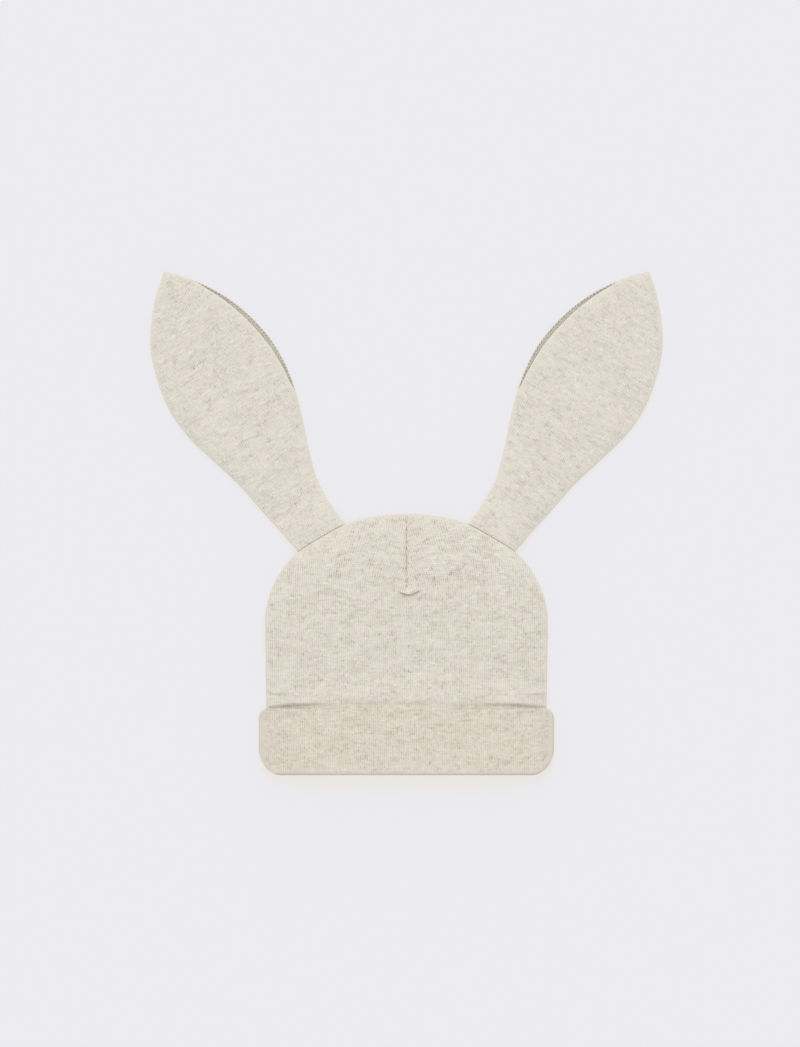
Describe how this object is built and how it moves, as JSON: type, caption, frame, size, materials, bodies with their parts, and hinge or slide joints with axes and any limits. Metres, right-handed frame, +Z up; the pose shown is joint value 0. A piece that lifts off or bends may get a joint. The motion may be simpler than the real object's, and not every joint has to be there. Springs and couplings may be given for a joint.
{
  "type": "baby hat with ears",
  "caption": "Soft knitted baby hat with a domed crown, a turned-up ribbed band and long upright ears sewn into the dome seam, lying flat on its back.",
  "frame": {"origin": "on the surface that the hat lies on, under the middle of its outline", "axes": "+Y from the mouth of the hat to the ear tips, +Z up out of the front of the hat, +X to the right seen from above the front"},
  "size_m": [0.301, 0.2944, 0.0129],
  "materials": {
    "heather_jersey": "soft matt cotton jersey in undyed oatmeal heather",
    "heather_rib": "soft matt doubled cotton rib in undyed oatmeal heather",
    "shaded_jersey": "soft matt cotton jersey, a slightly darker oatmeal heather"
  },
  "bodies": {
    "root": {"crown_front": "heather_jersey", "crown_back": "heather_jersey", "cuff": "heather_rib", "left_ear_front": "heather_jersey", "left_ear_back": "shaded_jersey", "right_ear_front": "heather_jersey", "right_ear_back": "shaded_jersey"}
  },
  "joints": []
}
